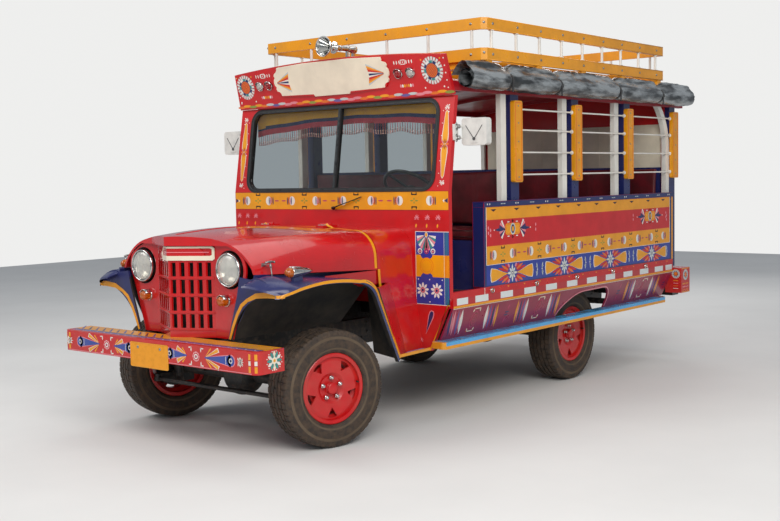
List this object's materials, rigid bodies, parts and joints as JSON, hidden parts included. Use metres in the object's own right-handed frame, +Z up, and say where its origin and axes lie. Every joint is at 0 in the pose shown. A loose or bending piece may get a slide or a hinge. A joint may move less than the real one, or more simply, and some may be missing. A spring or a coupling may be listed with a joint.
{
  "type": "open-sided wooden bus",
  "caption": "Open-sided wooden country bus on a light bonneted truck chassis, with bench rows, roof rack, rolled side sheets and painted folk patterns.",
  "frame": {"origin": "on the ground, under the middle of the overall length and width", "axes": "+X forward along the chassis, +Y to the vehicle's left, +Z up"},
  "size_m": [5.064, 2.3802, 2.5759],
  "materials": {
    "frame_paint": "satin",
    "engine_iron": "rough",
    "exhaust_steel": "dull",
    "red_paint": "gloss",
    "navy_paint": "gloss",
    "red_body_wood": "gloss paint",
    "yellow_wood": "gloss paint",
    "white_paint": "gloss paint",
    "blue_step": "gloss paint",
    "floor_wood": "satin",
    "lamp_glass": "clear",
    "window_glass": "clear",
    "seal_rubber": "matt",
    "horn_chrome": "bright",
    "mirror_plastic": "gloss",
    "sheet_plastic": "satin",
    "seat_vinyl": "satin",
    "wheel_rim_plastic": "satin",
    "fringe_cloth": "matt",
    "tyre_rubber": "matt"
  },
  "bodies": {
    "root": {"chassis_frame": "frame_paint", "leaf_springs": "frame_paint", "front_axle": "frame_paint", "rear_axle": "frame_paint", "engine_and_radiator": "engine_iron", "drive_shafts": "frame_paint", "exhaust_pipe": "exhaust_steel", "fuel_tank": "frame_paint", "front_bumper": "red_paint", "grille_panel": "red_paint", "headlamps": "lamp_glass", "marker_lamps": "lamp_glass", "front_fenders": "navy_paint", "cowl": "red_paint", "front_wall": "red_body_wood", "windscreen_seal": "seal_rubber", "windscreen_glass": "window_glass", "header_board": "red_body_wood", "roof": "red_body_wood", "roof_rack": "yellow_wood", "side_rolls": "sheet_plastic", "air_horn": "horn_chrome", "door_mirrors": "mirror_plastic", "floor": "floor_wood", "side_panel": "red_body_wood", "body_sills": "red_body_wood", "running_boards": "blue_step", "body_posts": "white_paint", "bench_frames": "yellow_wood", "bench_seats": "seat_vinyl", "dashboard": "red_body_wood", "rear_wall": "red_body_wood", "rear_bumper": "frame_paint", "windscreen_fringe": "fringe_cloth"},
    "bonnet": {"bonnet": "red_paint"},
    "knuckle_left": {"knuckle_left": "frame_paint"},
    "knuckle_right": {"knuckle_right": "frame_paint"},
    "tie_rod": {"tie_rod": "frame_paint"},
    "wheel_front_left": {"tyre_front_left": "tyre_rubber", "rim_front_left": "red_paint"},
    "wheel_front_right": {"tyre_front_right": "tyre_rubber", "rim_front_right": "red_paint"},
    "wheel_rear_left": {"tyre_rear_left": "tyre_rubber", "rim_rear_left": "red_paint"},
    "wheel_rear_right": {"tyre_rear_right": "tyre_rubber", "rim_rear_right": "red_paint"},
    "steering_wheel": {"steering_wheel": "wheel_rim_plastic"}
  },
  "joints": [
    {"name": "bonnet_hinge", "type": "hinge", "parent": "root", "child": "bonnet", "pos_m": [1.319, 0, 1.265], "axis": [0, -1, 0], "range_deg": [0, 60]},
    {"name": "steering_left", "type": "hinge", "parent": "root", "child": "knuckle_left", "pos_m": [1.822, 0.61, 0.345], "axis": [0, 0, 1], "range_deg": [-16.4, 43.6]},
    {"name": "steering_right", "type": "hinge", "parent": "root", "child": "knuckle_right", "pos_m": [1.822, -0.61, 0.345], "axis": [0, 0, 1], "range_deg": [-16.4, 43.6]},
    {"name": "tie_rod_pivot", "type": "hinge", "parent": "knuckle_left", "child": "tie_rod", "pos_m": [1.98237, 0.5712, 0.276], "axis": [0, 0, 1], "range_deg": [-43.6, 16.4]},
    {"name": "steering_wheel_turn", "type": "hinge", "parent": "root", "child": "steering_wheel", "pos_m": [0.622, 0.42, 1.47], "axis": [-0.6428, 0, 0.766], "range_deg": [-262.4, 697.6]},
    {"name": "wheel_front_left_spin", "type": "hinge", "parent": "knuckle_left", "child": "wheel_front_left", "pos_m": [1.84881, 0.7208, 0.345], "axis": [0.2351, 0.972, 0], "continuous": true},
    {"name": "wheel_front_right_spin", "type": "hinge", "parent": "knuckle_right", "child": "wheel_front_right", "pos_m": [1.79519, -0.7208, 0.345], "axis": [0.2351, 0.972, 0], "continuous": true},
    {"name": "wheel_rear_left_spin", "type": "hinge", "parent": "root", "child": "wheel_rear_left", "pos_m": [-0.82, 0.724, 0.345], "axis": [0, 1, 0], "continuous": true},
    {"name": "wheel_rear_right_spin", "type": "hinge", "parent": "root", "child": "wheel_rear_right", "pos_m": [-0.82, -0.724, 0.345], "axis": [0, 1, 0], "continuous": true}
  ],
  "couplings": [
    {"joint": "steering_right", "follows": "steering_left", "ratio": 1},
    {"joint": "tie_rod_pivot", "follows": "steering_left", "ratio": -1},
    {"joint": "steering_wheel_turn", "follows": "steering_left", "ratio": 16}
  ]
}
